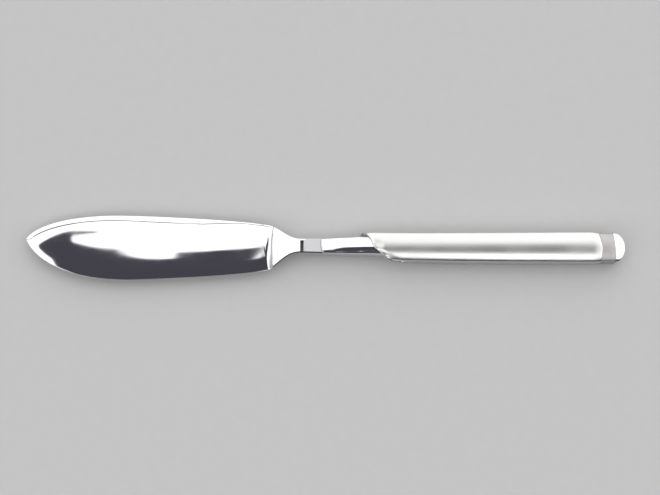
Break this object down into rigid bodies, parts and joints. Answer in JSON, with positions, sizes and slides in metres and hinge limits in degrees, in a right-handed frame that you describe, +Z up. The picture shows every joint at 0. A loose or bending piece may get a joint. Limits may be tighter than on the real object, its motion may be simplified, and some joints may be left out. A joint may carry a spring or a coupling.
{
  "type": "butter knife",
  "caption": "Butter knife with a broad mirror-polished blade, polished collar, satin hollow grip with a slanting mouth, brushed band and rounded polished end.",
  "frame": {"origin": "middle of the knife's bounding box, on the plane it lies on", "axes": "+X from the blade's tip to the butt along the handle, +Y towards the spine, +Z up out of the upper broad face"},
  "size_m": [0.1792, 0.0196, 0.0071],
  "materials": {
    "polished_steel": "mirror-polished stainless steel",
    "satin_steel": "fine satin blasted stainless steel",
    "brushed_steel": "stainless steel brushed round the handle",
    "cement": "matt, out of sight"
  },
  "bodies": {
    "root": {"blade": "polished_steel", "collar": "polished_steel", "grip_upper_shell": "satin_steel", "grip_lower_shell": "satin_steel", "grip_band": "brushed_steel", "end_cap": "polished_steel", "tang_cement": "cement"}
  },
  "joints": []
}
